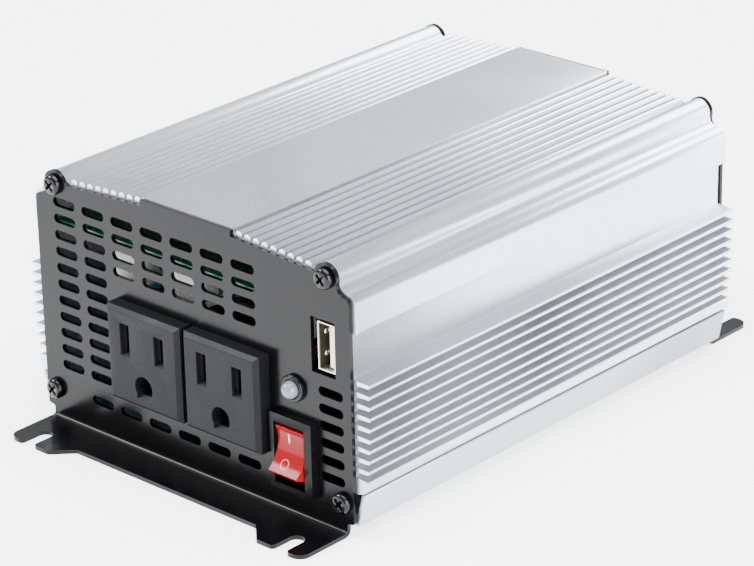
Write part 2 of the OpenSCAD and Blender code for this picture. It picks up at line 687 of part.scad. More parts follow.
// Ferrite core: an outer frame round a window, and a centre leg that the bobbin is on.
module transformer_cores() color("#3a3c40")
    for (y = core_ys) translate([core_x, y, parts_z - 3 - core_h]) difference() {
        block(-core_w / 2, core_w / 2, -core_l / 2, core_l / 2, 3, core_h - 3);
        for (s = [-1, 1]) block(s > 0 ? 4.5 : -core_w / 2 + 4.5, s > 0 ? core_w / 2 - 4.5 : -4.5,
                                -core_l / 2 + 5, core_l / 2 - 5, 2, core_h - 2);
    }

module transformer_windings() color("#d9b52c")
    for (y = core_ys) translate([core_x, y, parts_z - core_h - 3]) {
        difference() {
            block(-core_w / 2 + 4.8, core_w / 2 - 4.8, -core_l / 2 + 5.3, core_l / 2 - 5.3, 0, core_h);
            block(-4.6, 4.6, -core_l / 2, core_l / 2, 2.9, core_h - 2.9);
        }
        for (s = [-1, 1], k = [-2:2]) translate([s * 7.5, k * 3.6, core_h]) cylinder(h = 3, r = 0.4, $fn = 8);
    }

module can(x, y, r, h) {
    translate([x, y, parts_z - h]) rotate_extrude($fn = fine)
        polygon([[0, 0.3], [r - 1.2, 0.3], [r - 1, 0], [r - 0.4, 0], [r, 0.5], [r, h - 2.6], [r - 0.5, h - 2.2],
                 [r, h - 1.8], [r, h], [0, h]]);
}

module input_capacitors() color("#2b3550") for (x = [-26, -6, 14]) can(x, 48, 5, 22);
module output_capacitor() color("#2a7f9e") can(-37, front_y + 22.5, 8, 30);

choke_at = [24, 6];
module choke_core() color("#5f7a4a") translate([choke_at[0], choke_at[1], parts_z - 13]) rotate([0, 90, 0])
    rotate_extrude($fn = fine) translate([8, 0]) square([4, 7], center = true);

// Turns of wire round the ring, each a closed loop round its section.
module choke_winding() color("#b4682e") translate([choke_at[0], choke_at[1], parts_z - 13])
    for (a = [30:20:330]) rotate([a, 0, 0]) translate([0, 0, 8]) difference() {
        block(-4.5, 4.5, -0.5, 0.5, -3, 3);
        block(-3.55, 3.55, -1, 1, -2.05, 2.05);
    }

// TO-220 transistors stand flat against the side walls, leads up to the board.
transistor_ys = [-36, -22, -8, 24, 38];
clip_screw_ys = [-29, 8, 31];
transistor_z = board_z - 22;
pad_t = 0.3;
module on_walls() {
    for (side = [0, 1]) mirror([side, 0, 0]) for (y = transistor_ys) translate([inner_x, y, transistor_z]) children();
}

module power_transistors() color("#222326") on_walls() {
    block(-pad_t - 4.4, -pad_t, -5, 5, 0, 9);
    block(-pad_t - 1.3, -pad_t, -5, 5, -6, 0);
    for (k = [-1:1]) block(-pad_t - 3, -pad_t - 2.5, k * 2.54 - 0.4, k * 2.54 + 0.4, 9, board_z - transistor_z);
}

module transistor_pads() color("#8d93a0") on_walls() block(-pad_t, 0, -6, 6, -7, 10);

module transistor_clips() color("#9aa0a8")
    for (side = [0, 1]) mirror([side, 0, 0]) difference() {
        block(inner_x - pad_t - 6.4, inner_x - pad_t - 4.4, -43, 45, transistor_z + 2, transistor_z + 7);
        for (y = clip_screw_ys) translate([inner_x - 12, y, transistor_z + 4.5]) rotate([0, 90, 0])
            cylinder(h = 10, r = screw_r + 0.15, $fn = coarse);
    }

module clip_screws() color("#b9bcc2")
    for (side = [0, 1]) mirror([side, 0, 0]) for (y = clip_screw_ys)
        translate([inner_x - pad_t - 6.4, y, transistor_z + 4.5]) rotate([0, 0, -90]) pan_screw(6.4);

fuse_xs = [26, 34];
module fuse_holders() color("#2a2b2e") for (x = fuse_xs) difference() {
    block(x - 3, x + 3, 35, 53, parts_z - 8, parts_z);
    block(x - 1.2, x + 1.2, 36.5, 51.5, parts_z - 9, parts_z - 1);
}

module blade_fuses() color("#d98a1f") for (x = fuse_xs) {
    block(x - 2.4, x + 2.4, 35.4, 52.6, parts_z - 17, parts_z - 8);
    for (s = [-1, 1]) block(x - 0.4, x + 0.4, 44 + s * 5 - 2, 44 + s * 5 + 2, parts_z - 8, parts_z - 2);
}

module control_chips() color("#1a1b1e") for (p = [[20, -46], [20, -30], [34, -38]])
    block(p[0] - 3.2, p[0] + 3.2, p[1] - 5, p[1] + 5, parts_z - 3, parts_z);

connector_at = [[-29, front_y + 9], [-7, front_y + 9], [32, front_y + 9]];
module wire_connectors() color("#ecebe4") for (p = connector_at) difference() {
    block(p[0] - 5, p[0] + 5, p[1] - 4, p[1] + 4, parts_z - 8.8, parts_z);
    for (s = [-1, 1]) translate([p[0] + s * 2.5, p[1], parts_z - 9.8]) cylinder(h = 7.4, r = 1.15, $fn = coarse);
}

// ------------------------------------------------------------------ leads

lead_r = 1;
solder_z = board_z + 0.8;                   // lead ends are soldered into the board
function connector_mouth(i, s) = [connector_at[i][0] + s * 2.5, connector_at[i][1], parts_z - 7.8];

module switch_leads() color("#b3282a") for (s = [-1, 1]) {
    start = connector_mouth(2, s);
    end = [switch_x, front_y + housing_l + 6.8, switch_z + 5.5 * s];
    tube([start, start - [0, 0, 2], start + [0, 0.3, -4.2], [start[0] - 0.8, front_y + 19, switch_z + 18],
          [end[0] - 2, end[1] + 5, end[2] + 7], end + [0, 2.5, 0.6], end], lead_r);
}

module outlet_leads() color("#e6e4de") for (i = [0, 1], s = [-1, 1]) {
    start = connector_mouth(i, s);
    end = [outlet_xs()[i] + s * blade_spacing / 2, front_y + 26.4, outlet_z + 5];
    tube([start, start - [0, 0, 2], start - [0, -0.3, 4.2],
          [(start[0] + end[0]) / 2, (start[1] + end[1]) / 2 + 6, end[2] + 12 + 3 * s],
          end + [0, 5, 3], end + [0, 2, 0.3], end], lead_r);
}

module led_leads() color("#3a3b40") for (s = [-1, 1])
    tube([[led_x + s * 1.27, front_y + 16.1, led_z], [led_x + s * 1.27, front_y + 18, led_z],
          [led_x + 2 + s * 1.4, front_y + 21, led_z + 4], [led_x + 4 + s * 1.4, front_y + 22, led_z + 14],
          [led_x + 4 + s * 1.4, front_y + 22, solder_z]], 0.7);

module fan_leads() color("#a02a2c") for (s = [-1, 1])
    tube([[fan_x - 8 + s, fan_y1 - 9, fan_z + fan_size / 2 - 0.8], [fan_x - 8 + s, fan_y1 - 9, fan_z + fan_size / 2 + 1],
          [fan_x - 9 + s, fan_y1 - 12, board_z - 1], [fan_x - 9 + s, fan_y1 - 12, solder_z]], 0.7);

// -------------------------------------------------------------------- fan

shaft_r = 1.5;
fan_y1 = rear_y - sheet_t;                  // the fan sits against the rear panel
fan_y0 = fan_y1 - fan_depth;
hub_r = fan_size * 0.3;

module fan_frame() color("#202124") translate([fan_x, 0, fan_z]) {
    difference() {
        block(-fan_size / 2, fan_size / 2, fan_y0, fan_y1, -fan_size / 2, fan_size / 2);
        rod_y(0, 0, fan_inner_r, fan_y0 - 1, fan_y1 + 1);
        for (sx = [-1, 1], sz = [-1, 1])
            rod_y(sx * fan_hole_d / 2, sz * fan_hole_d / 2, screw_r + 0.15, fan_y0 - 1, fan_y1 + 1);
    }
    difference() {
        union() {
            rod_y(0, 0, hub_r - 1, fan_y1 - 2.4, fan_y1 - 0.4);
            rod_y(0, 0, shaft_r + 2, fan_y0 + 4.5, fan_y1 - 1);
            for (a = [0, 90, 180, 270]) rotate([0, a, 0])
                block(-1, 1, fan_y1 - 2.4, fan_y1 - 0.6, hub_r - 2, fan_inner_r + 0.4);
        }
        rod_y(0, 0, shaft_r + gap, fan_y0, fan_y1 + 1);
    }
}

module fan_rotor() color("#2b2c30") translate([fan_x, 0, fan_z]) {
    tip_r = fan_inner_r - 0.8;
    y0 = fan_y0 + 0.8;
    y1 = fan_y1 - 3.2;
    difference() {
        rod_y(0, 0, hub_r, y0, y1);
        rod_y(0, 0, hub_r - 1.2, y0 + 1.4, y1 + 1);
    }
    rod_y(0, 0, shaft_r, y0 + 1, fan_y1 - 1);
    for (k = [0:fan_blades - 1]) rotate([0, 360 * k / fan_blades, 0]) intersection() {
        difference() {
            rod_y(0, 0, tip_r, y0, y1);
            rod_y(0, 0, hub_r - 0.4, y0 - 1, y1 + 1);
        }
        translate([0, (y0 + y1) / 2, 0]) rotate([0, 0, 38]) block(-0.5, 0.5, -12, 12, 0, tip_r + 1);
    }
}

module fan_corner(i) {
    s = [[-1, -1], [-1, 1], [1, -1], [1, 1]][i];
    translate([fan_x + s[0] * fan_hole_d / 2, 0, fan_z + s[1] * fan_hole_d / 2]) children();
}

module fan_screws() color("#1c1d1f") for (i = [0:3]) fan_corner(i)
    translate([0, rear_y, 0]) rotate([0, 0, 180]) pan_screw(sheet_t + fan_depth + 4);

module fan_nuts() color("#b9bcc2") for (i = [0:3]) fan_corner(i) difference() {
    rod_y(0, 0, 3.1, fan_y0 - 2.4, fan_y0, 6);
    rod_y(0, 0, screw_r + gap, fan_y0 - 3, fan_y0 + 1);
}

// ---------------------------------------------------------- battery posts

function post_xs() = [post_x - post_spacing / 2, post_x + post_spacing / 2];

bush_sleeve_r = stud_r + 2;
bush_flange_r = 8.5;
bush_flange_t = 2.4;
seat_nut_t = 2;
washer_t = 0.9;
knob_r = 8;
knob_l = 9.6;
washer_y = rear_y + bush_flange_t + seat_nut_t;
knob_y = washer_y + washer_t;
stud_end_y = knob_y + 7.4;
inner_stack_y = rear_y - sheet_t;
inner_flange_t = 2;
lug_t = 0.9;
nut_t = 4.5;

module post_bushes() for (i = [0, 1]) color(i == 0 ? "#b3262b" : "#1d1e20") difference() {
    union() {
        rod_y(post_xs()[i], post_z, bush_flange_r, rear_y, rear_y + bush_flange_t);
        rod_y(post_xs()[i], post_z, bush_sleeve_r, inner_stack_y, rear_y + 0.2);
        rod_y(post_xs()[i], post_z, bush_flange_r - 1, inner_stack_y - inner_flange_t, inner_stack_y);
    }
    rod_y(post_xs()[i], post_z, stud_r + gap, inner_stack_y - inner_flange_t - 1, rear_y + bush_flange_t + 1);
}

module post_studs() color("#d3b465") for (x = post_xs())
    rod_y(x, post_z, stud_r, inner_stack_y - inner_flange_t - lug_t - nut_t - 2, stud_end_y);

module hex(x, z, across, y0, y1, bore_r) {
    difference() {
        rod_y(x, z, across / sqrt(3), y0, y1, 6);
        rod_y(x, z, bore_r, y0 - 1, y1 + 1);
    }
}

// A thin nut outside and a full nut inside hold each stud in its bush.
module post_nuts() color("#cfd2d6") for (x = post_xs()) {
    hex(x, post_z, 2 * stud_r + 5, rear_y + bush_flange_t, washer_y, stud_r + gap);
    hex(x, post_z, 2 * stud_r + 4, inner_stack_y - inner_flange_t - lug_t - nut_t,
        inner_stack_y - inner_flange_t - lug_t, stud_r + gap);
}

lug_y = inner_stack_y - inner_flange_t - lug_t;
module post_lugs() color("#c5a55a") for (x = post_xs()) difference() {
    union() {
        rod_y(x, post_z, stud_r + 3, lug_y, lug_y + lug_t);
        block(x - 2.5, x + 2.5, lug_y, lug_y + lug_t, post_z, post_z + stud_r + 7);
        translate([x, lug_y - 1.4, post_z + stud_r + 4]) cylinder(h = 6, r = 2.2, $fn = coarse);
    }
    rod_y(x, post_z, stud_r + gap, lug_y - 1, lug_y + 2);
}

battery_lead_r = 1.9;
module battery_lead(i) {
    x = post_xs()[i];
    start = [x, lug_y - 1.4, post_z + stud_r + 7];
    tube([start, start + [0, 0, 4], [x + 1, start[1] - 3.5, board_z - 7], [x + 2, start[1] - 6, board_z - 2],
          [x + 2, start[1] - 6, solder_z]], battery_lead_r);
}

module red_lead() color("#b3262b") battery_lead(0);
module black_lead() color("#1d1e20") battery_lead(1);

module post_washer(i) {
    difference() {
        rod_y(post_xs()[i], post_z, 6.4, washer_y + gap, knob_y - gap);
        rod_y(post_xs()[i], post_z, stud_r + gap, washer_y - 1, knob_y + 1);
    }
}

module red_washer() color("#cfd2d6") post_washer(0);
module black_washer() color("#cfd2d6") post_washer(1);

// Fluted knob with a blind bore over the stud.
module knob(i) translate([post_xs()[i], 0, post_z]) difference() {
    union() {
        rod_y(0, 0, knob_r - 1, knob_y, knob_y + 1.2);
        rod_y(0, 0, knob_r, knob_y + 1.2, knob_y + knob_l - 1);
        rod_y(0, 0, knob_r - 1, knob_y + knob_l - 1, knob_y + knob_l);
    }
    for (a = [0:30:330]) rotate([0, a, 0]) rod_y(knob_r + 0.8, 0, 1.5, knob_y - 1, knob_y + knob_l + 1, coarse);
    rod_y(0, 0, stud_r + gap, knob_y - 1, stud_end_y + 0.4);
}

module red_knob() color("#b3262b") knob(0);
module black_knob() color("#1d1e20") knob(1);

top_shell();
base_tray();
front_panel();
rear_panel();
front_panel_screws();
rear_panel_screws();
tray_screws();
outlet_left();
outlet_right();
outlet_left_contacts();
outlet_right_contacts();
usb_shell();
usb_tongue();
usb_contacts();
usb_board();
led_lens();
led_bezel();
switch_housing();
switch_rocker();
switch_terminals();
main_board();
transformer_cores();
transformer_windings();
input_capacitors();
output_capacitor();
choke_core();
choke_winding();
power_transistors();
transistor_pads();
transistor_clips();
clip_screws();
blade_fuses();
fuse_holders();
control_chips();
wire_connectors();
switch_leads();
outlet_leads();
led_leads();
fan_leads();
fan_frame();
fan_rotor();
fan_screws();
fan_nuts();
post_bushes();
post_studs();
post_nuts();
post_lugs();
red_lead();
black_lead();
red_washer();
black_washer();
red_knob();
black_knob();
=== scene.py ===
"""Looks of a small power inverter: a finned, satin anodised case between black
end panels, with two outlets, a USB socket, a pilot light and a red rocker.

Lengths in the shape functions are millimetres in the CAD's own frame; they are
turned into metres where a mesh is made.
"""

import json
import math

import bmesh
import bpy
import numpy as np
from mathutils import Matrix, Vector


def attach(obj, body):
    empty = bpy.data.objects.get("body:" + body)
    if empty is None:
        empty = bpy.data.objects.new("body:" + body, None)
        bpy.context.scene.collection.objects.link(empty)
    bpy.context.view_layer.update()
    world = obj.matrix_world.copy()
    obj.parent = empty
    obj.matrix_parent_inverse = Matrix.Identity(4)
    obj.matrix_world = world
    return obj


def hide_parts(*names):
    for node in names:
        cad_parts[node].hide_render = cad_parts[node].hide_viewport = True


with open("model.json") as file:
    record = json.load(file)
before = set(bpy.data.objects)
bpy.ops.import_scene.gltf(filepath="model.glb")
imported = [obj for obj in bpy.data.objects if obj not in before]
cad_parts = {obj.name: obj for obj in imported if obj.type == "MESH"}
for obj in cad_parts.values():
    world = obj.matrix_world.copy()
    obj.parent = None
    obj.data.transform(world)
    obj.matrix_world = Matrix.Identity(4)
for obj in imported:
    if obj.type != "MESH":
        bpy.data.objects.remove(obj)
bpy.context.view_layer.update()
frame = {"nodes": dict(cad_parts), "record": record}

MM = 0.001

# ---------------------------------------------------------------- main sizes

CASE_HALF_L = 75.0
WALL_X, INNER_X = 55.9, 54.3            # outer and inner face of a side wall
LIFT = 3.4                              # from the feet's soles to the tray's underside
TOP_Z = LIFT + 70.6
FLOOR_Z = LIFT + 1.8                    # upper face of the tray's floor
LIP_Z = LIFT + 9.3                      # top of the tray's lip
BOARD_Z = TOP_Z - 18.0
FRONT_Y = -76.2                         # outer face of the front panel

PLATEAU_X, PLATEAU_STEP = 16.4, 1.3
RIDGE_COUNT, RIDGE_PITCH, RIDGE_R = 9, 3.0, 1.05
RIDGE_SLOPE, GROOVE_DEPTH = 0.06, 0.75
EAR = np.array([WALL_X - 6.9, TOP_Z - 4.1])
EAR_R = 3.6
FILLET_R, HOLLOW_R = 1.4, 2.7           # before the ear, and between ear and shoulder
SHOULDER, SHOULDER_R = EAR + [6.3, -6.0], 2.8
EAVE_X, EAVE_Z = WALL_X + 2.6, TOP_Z - 16.4
FIN_COUNT, FIN_PITCH, FIN_REACH = 9, 3.0, 5.8
FIN_TOP_Z = TOP_Z - 30.1

LED_X, LED_Z = WALL_X - 18.7, LIFT + 33.2
USB_X, USB_Z = WALL_X - 7.6, LIFT + 47.3
USB_WALL_X = USB_X - 2.55               # inner face of the sleeve's left wall
SWITCH_X, SWITCH_Z = WALL_X - 18.55, LIFT + 15.0
PIVOT_Y = FRONT_Y + 1.75
ROCKER_TIP = math.radians(-15.0)
ROCKER_HALF, ROCKER_HOLLOW = 5.9, 2.1   # half height of the hollow face, and its depth
ROCKER_REACH = 4.0                      # from the pivot out to the face's ends


# ---------------------------------------------------------------- camera

CAMERA_AZIMUTH, CAMERA_ELEVATION, CAMERA_ROLL = 42.81, 23.44, -1.27
CAMERA_AIM = Vector((0, 13.8, 11.86))
CAMERA_ASIDE, CAMERA_ABOVE, CAMERA_BACK = -12.76, 11.95, 915.7
LENS, SENSOR = 156.08, 36


def camera_at_product_angle():
    """Camera on a ray from the aim point, at an azimuth and an elevation, moved a little
    across the ray and rolled about it."""
    azimuth, elevation = math.radians(CAMERA_AZIMUTH), math.radians(CAMERA_ELEVATION)
    roll = math.radians(CAMERA_ROLL)
    back = Vector((math.sin(azimuth) * math.cos(elevation),
                   -math.cos(azimuth) * math.cos(elevation), math.sin(elevation)))
    flat_right = Vector((math.cos(azimuth), math.sin(azimuth), 0))
    flat_up = back.cross(flat_right)
    right = math.cos(roll) * flat_right + math.sin(roll) * flat_up
    up = -math.sin(roll) * flat_right + math.cos(roll) * flat_up
    place = CAMERA_AIM + right * CAMERA_ASIDE + up * CAMERA_ABOVE + back * CAMERA_BACK
    data = bpy.data.cameras.new("product_camera")
    data.lens, data.sensor_width = LENS, SENSOR
    data.clip_start, data.clip_end = 0.01, 20
    obj = bpy.data.objects.new("product_camera", data)
    turn = Matrix((right, up, back)).transposed().to_4x4()
    obj.matrix_world = Matrix.Translation(place * MM) @ turn
    bpy.context.collection.objects.link(obj)
    bpy.context.scene.camera = obj


camera_at_product_angle()


# ---------------------------------------------------------------- finishes

class Finish:
    """A node material: a shader, and patterns read at the piece's own place."""

    def __init__(self, name, colour, metallic=0.0, roughness=0.5, **sockets):
        self.mat = bpy.data.materials.new(name)
        self.mat.use_nodes = True
        self.tree = self.mat.node_tree
        self.shader = self.tree.nodes["Principled BSDF"]
        self.place = None
        self.set("Base Color", (*colour, 1))
        self.set("Metallic", metallic)
        self.set("Roughness", roughness)
        self.rough = roughness
        for key, value in sockets.items():
            self.set(key.replace("_", " "), value)

    def set(self, socket, value):
        """A constant on one of the shader's own sockets."""
        self.shader.inputs[socket].default_value = value

    def node(self, kind, **settings):
        """New node, each setting put on the input of that name or on the node itself."""
        made = self.tree.nodes.new(kind)
        for key, value in settings.items():
            if key in made.inputs:
                made.inputs[key].default_value = value
            else:
                setattr(made, key, value)
        return made

    def join(self, start, end):
        self.tree.links.new(start, end)

    def coords(self, stretch=(1, 1, 1)):
        """Object coordinates, stretched along an axis by a small scale there."""
        if self.place is None:
            self.place = self.node("ShaderNodeTexCoord").outputs["Object"]
        if stretch == (1, 1, 1):
            return self.place
        mapping = self.node("ShaderNodeMapping", Scale=stretch)
        self.join(self.place, mapping.inputs["Vector"])
        return mapping.outputs["Vector"]

    def noise(self, scale, detail=3.0, roughness=0.55, stretch=(1, 1, 1)):
        """Noise from 0 to 1; the scale is in cells for each metre."""
        made = self.node("ShaderNodeTexNoise", Scale=scale, Detail=detail, Roughness=roughness)
        self.join(self.coords(stretch), made.inputs["Vector"])
        return made.outputs["Fac"]

    def ranged(self, value, low, high, out_low, out_high):
        """Pattern stretched from one range to another, and held at the ends."""
        made = self.node("ShaderNodeMapRange")
        for i, v in ((1, low), (2, high), (3, out_low), (4, out_high)):
            made.inputs[i].default_value = v
        self.join(value, made.inputs[0])
        return made.outputs[0]

    def tint(self, value, dark, light):
        """Base colour between two colours, by a pattern from 0 to 1."""
        ramp = self.node("ShaderNodeValToRGB")
        ramp.color_ramp.elements[0].color = (*dark, 1)
        ramp.color_ramp.elements[1].color = (*light, 1)
        self.join(value, ramp.inputs["Fac"])
        self.join(ramp.outputs["Color"], self.shader.inputs["Base Color"])
        return self

    def vary_roughness(self, value, spread):
        """Roughness a spread below to a spread above its own value, by a pattern."""
        low, high = self.rough - spread, self.rough + spread
        self.join(self.ranged(value, 0.3, 0.7, low, high), self.shader.inputs["Roughness"])
        return self

    def bumps(self, *layers):
        """Bump layers, each a pattern, a strength and a height in millimetres."""
        last = None
        for value, strength, height in layers:
            made = self.node("ShaderNodeBump", Strength=strength, Distance=height * MM)
            self.join(value, made.inputs["Height"])
            if last:
                self.join(last.outputs["Normal"], made.inputs["Normal"])
            last = made
        self.join(last.outputs["Normal"], self.shader.inputs["Normal"])
        return self


def shade(colour, factor):
    """Colour times a factor, held at 1."""
    return tuple(min(1.0, c * factor) for c in colour)


def blasted_aluminium(name, colour, roughness, grain=0.5):
    """Satin anodised extrusion: bead-blasted speckle, faint die lines along the length."""
    f = Finish(name, colour, metallic=1.0, roughness=roughness)
    speckle = f.noise(2600, detail=2.0, roughness=0.6)
    cloud = f.noise(38, detail=2.0)
    lines = f.noise(900, detail=1.0, stretch=(1, 0.012, 1))
    f.tint(f.ranged(speckle, 0.3, 0.7, 0.0, 1.0), shade(colour, 0.86), shade(colour, 1.1))
    f.vary_roughness(cloud, 0.03)
    return f.bumps((speckle, grain, 0.02), (lines, 0.12, 0.01)).mat


def powder_coat(name, colour, roughness):
    """Satin black powder coat: a soft fine orange peel and a faint cloudiness."""
    f = Finish(name, colour, roughness=roughness, Specular_IOR_Level=0.17)
    peel = f.noise(1500, detail=2.0)
    cloud = f.noise(30, detail=2.0)
    f.tint(cloud, shade(colour, 0.85), shade(colour, 1.2))
    f.vary_roughness(cloud, 0.04)
    return f.bumps((peel, 0.25, 0.02)).mat


def grained_plastic(name, colour, roughness=0.5, grain=0.35, size=1800, height=0.03, **sockets):
    """Moulded plastic with a sparked grain."""
    f = Finish(name, colour, roughness=roughness, **sockets)
    pits = f.noise(size, detail=2.5, roughness=0.65)
    f.tint(f.ranged(pits, 0.3, 0.7, 0.0, 1.0), shade(colour, 0.75), shade(colour, 1.3))
    f.vary_roughness(f.noise(60), 0.05)
    return f.bumps((pits, grain, height)).mat


def gloss_plastic(name, colour, roughness=0.2, **sockets):
    """Polished moulding with the faint unevenness of a real surface."""
    f = Finish(name, colour, roughness=roughness, **sockets)
    wave = f.noise(160, detail=1.0)
    f.tint(wave, shade(colour, 0.9), shade(colour, 1.1))
    f.vary_roughness(f.noise(500), 0.04)
    return f.bumps((wave, 0.05, 0.05)).mat


def bright_metal(name, colour, roughness=0.2, scratches=0.15):
    """Plated or drawn metal with fine wear."""
    f = Finish(name, colour, metallic=1.0, roughness=roughness)
    worn = f.noise(700, detail=3.0, stretch=(1, 0.2, 1))
    f.tint(f.noise(90), shade(colour, 0.88), shade(colour, 1.06))
    f.vary_roughness(worn, 0.06)
    return f.bumps((worn, scratches, 0.01)).mat


def layered(name, colour, thread, across):
    """Wound or layered stuff: fine stripes across one axis."""
    f = Finish(name, colour, roughness=0.45)
    wave = f.node("ShaderNodeTexWave", Scale=thread, Distortion=0.3)
    wave.bands_direction = across
    f.join(f.coords(), wave.inputs["Vector"])
    f.tint(wave.outputs["Fac"], shade(colour, 0.7), shade(colour, 1.1))
    return f.bumps((wave.outputs["Fac"], 0.4, 0.1)).mat


JET = (0.002, 0.002, 0.0025)
DEEP_RED = (0.17, 0.002, 0.004)
FINISHES = {
    "anodised_shell": blasted_aluminium("satin_anodised_shell", (0.655, 0.68, 0.72), 0.32),
    "tray_metal": blasted_aluminium("satin_anodised_tray", (0.42, 0.44, 0.47), 0.36),
    "black_paint": powder_coat("black_powder_coat", (0.0015, 0.0015, 0.0018), 0.22),
    "black_screw": gloss_plastic("black_zinc", (0.001, 0.001, 0.0012), 0.10,
                                 Specular_IOR_Level=0.25),
    "outlet_plastic": grained_plastic("sparked_grey_plastic", (0.005, 0.005, 0.006), 0.40, 0.9,
                                      1200, 0.05, Specular_IOR_Level=0.09),
    "contact_brass": bright_metal("stamped_brass", (0.80, 0.60, 0.28), 0.3),
    "usb_metal": bright_metal("tin_plate", (0.72, 0.70, 0.64), 0.36),
    "cream_plastic": grained_plastic("cream_plastic", (0.80, 0.74, 0.58), 0.45, 0.1),
    "board_green": gloss_plastic("solder_mask", (0.02, 0.16, 0.07), 0.3),
    "led_plastic": gloss_plastic("milky_lens", (0.13, 0.15, 0.19), 0.12,
                                 Subsurface_Weight=0.1, Subsurface_Scale=0.002),
    "black_plastic": grained_plastic("black_plastic", JET, 0.30, 0.2, Specular_IOR_Level=0.25),
    "rocker_red": gloss_plastic("rocker_red", (0.18, 0.0015, 0.003), 0.14,
                                Specular_IOR_Level=0.16),
    "tinned_metal": bright_metal("tinned_metal", (0.75, 0.74, 0.70), 0.3),
    "ferrite": grained_plastic("ferrite", (0.05, 0.05, 0.055), 0.6),
    "winding_tape": layered("yellow_tape", (0.70, 0.50, 0.05), 420, "Z"),
    "can_navy": gloss_plastic("navy_sleeve", (0.02, 0.04, 0.12), 0.25),
    "can_teal": gloss_plastic("teal_sleeve", (0.02, 0.26, 0.34), 0.25),
    "iron_powder": grained_plastic("green_ring", (0.10, 0.20, 0.08), 0.55),
    "enamel_wire": gloss_plastic("copper_enamel", (0.55, 0.20, 0.06), 0.25, Coat_Weight=0.5),
    "chip_black": grained_plastic("moulded_black", (0.02, 0.02, 0.022), 0.5),
    "pad_grey": grained_plastic("silicone_pad", (0.35, 0.37, 0.42), 0.6),
    "bar_steel": bright_metal("plain_steel", (0.60, 0.61, 0.63), 0.35),
    "fuse_plastic": gloss_plastic("amber_fuse", (0.75, 0.28, 0.02), 0.15),
    "white_plastic": grained_plastic("white_nylon", (0.80, 0.79, 0.75), 0.45, 0.1),
    "red_sleeve": gloss_plastic("red_insulation", (0.50, 0.02, 0.02), 0.35),
    "white_sleeve": gloss_plastic("white_insulation", (0.78, 0.76, 0.70), 0.35),
    "black_sleeve": gloss_plastic("black_insulation", (0.02, 0.02, 0.022), 0.35),
    "post_plastic": gloss_plastic("post_red", DEEP_RED, 0.25, Specular_IOR_Level=0.2),
    "post_brass": bright_metal("machined_brass", (0.80, 0.63, 0.33), 0.25),
    "nickel": bright_metal("nickel", (0.78, 0.76, 0.72), 0.2),
    "knob_red": gloss_plastic("knob_red", DEEP_RED, 0.25, Specular_IOR_Level=0.2),
    "knob_black": gloss_plastic("knob_black", JET, 0.25, Specular_IOR_Level=0.2),
}
MARK_WHITE = gloss_plastic("mark_white", (0.85, 0.70, 0.68), 0.35)
STIPPLED_BLACK = grained_plastic("stippled_black", JET, 0.28, 0.9, 1200, 0.06,
                                 Specular_IOR_Level=0.14)
# Lighter tin for the spring tips in the USB sleeve: the tips are real, their extra brightness is
# a painted highlight.
TIN_WITH_PAINTED_HIGHLIGHT = bright_metal("tin_with_painted_highlight", (0.86, 0.84, 0.79), 0.25)
MARK_PINK = gloss_plastic("mark_pink", (0.42, 0.16, 0.16), 0.35)
# Near-black olive tin for the sheet inside the USB sleeve: painted shade.
TIN_IN_PAINTED_SHADE = grained_plastic("tin_in_painted_shade", (0.022, 0.020, 0.011), 0.5, 0.2,
                             Specular_IOR_Level=0.2)
# Brass darkened to near black for the USB contacts: painted shade of the socket's inside.
BRASS_IN_PAINTED_SHADE = bright_metal("brass_in_painted_shade", (0.06, 0.055, 0.03), 0.5)

NODE_SLOT = {row["node"]: row["material_slot"] for row in frame["record"]["subparts"]}
NODE_BODY = {node: body for body, nodes in frame["record"]["behaviour"]["bodies"].items()
             for node in nodes}
for node_name, cad_node in frame["nodes"].items():
    # The socket's contacts take the near-black brass: painted shade, not their own colour.
    contacts_in_painted_shade = node_name == "usb_contacts"
    cad_node.data.materials.clear()
    cad_node.data.materials.append(BRASS_IN_PAINTED_SHADE if contacts_in_painted_shade else FINISHES[NODE_SLOT[node_name]])


# ---------------------------------------------------------------- making pieces

def add_piece(name, points, faces, node=None, body=None, slot=None, material=None, sharp=35):
    """Mesh from points in millimetres; stands for a CAD node, or rides a body beside it."""
    mesh = bpy.data.meshes.new(name)
    mesh.from_pydata((np.asarray(points, float) * MM).tolist(), [], faces)
    return dress(bpy.data.objects.new(name, mesh), node, body, slot, material, sharp)


def dress(obj, node, body, slot, material, sharp):
    """Shading, finish and body of a new piece; a CAD node's own unless one is given."""
    obj.data.validate()
    obj.data.shade_smooth()
    obj.data.set_sharp_from_angle(angle=math.radians(sharp))
    bpy.context.collection.objects.link(obj)
    slot = slot or NODE_SLOT[node]
    obj.data.materials.clear()
    obj.data.materials.append(material or FINISHES[slot])
    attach(obj, body or NODE_BODY[node])
    if node:
        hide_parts(node)
    return obj


def arc(centre, radius, start, end, count):
    """Points on a circle from one heading to another, in degrees."""
    a = np.radians(np.linspace(start, end, count))
    return np.stack([centre[0] + radius * np.cos(a), centre[1] + radius * np.sin(a)], 1)


def heading(a, b):
    """Direction from one point to another, in degrees from +X."""
    return math.degrees(math.atan2(b[1] - a[1], b[0] - a[0]))


def touching(c1, r1, c2, r2, r):
    """Centre of a circle that touches two others, on the left of the line between them."""
    c1, c2 = np.asarray(c1, float), np.asarray(c2, float)
    d = np.linalg.norm(c2 - c1)
    along = ((r1 + r) ** 2 - (r2 + r) ** 2 + d * d) / (2 * d)
    u = (c2 - c1) / d
    return c1 + along * u + math.sqrt((r1 + r) ** 2 - along ** 2) * np.array([-u[1], u[0]])


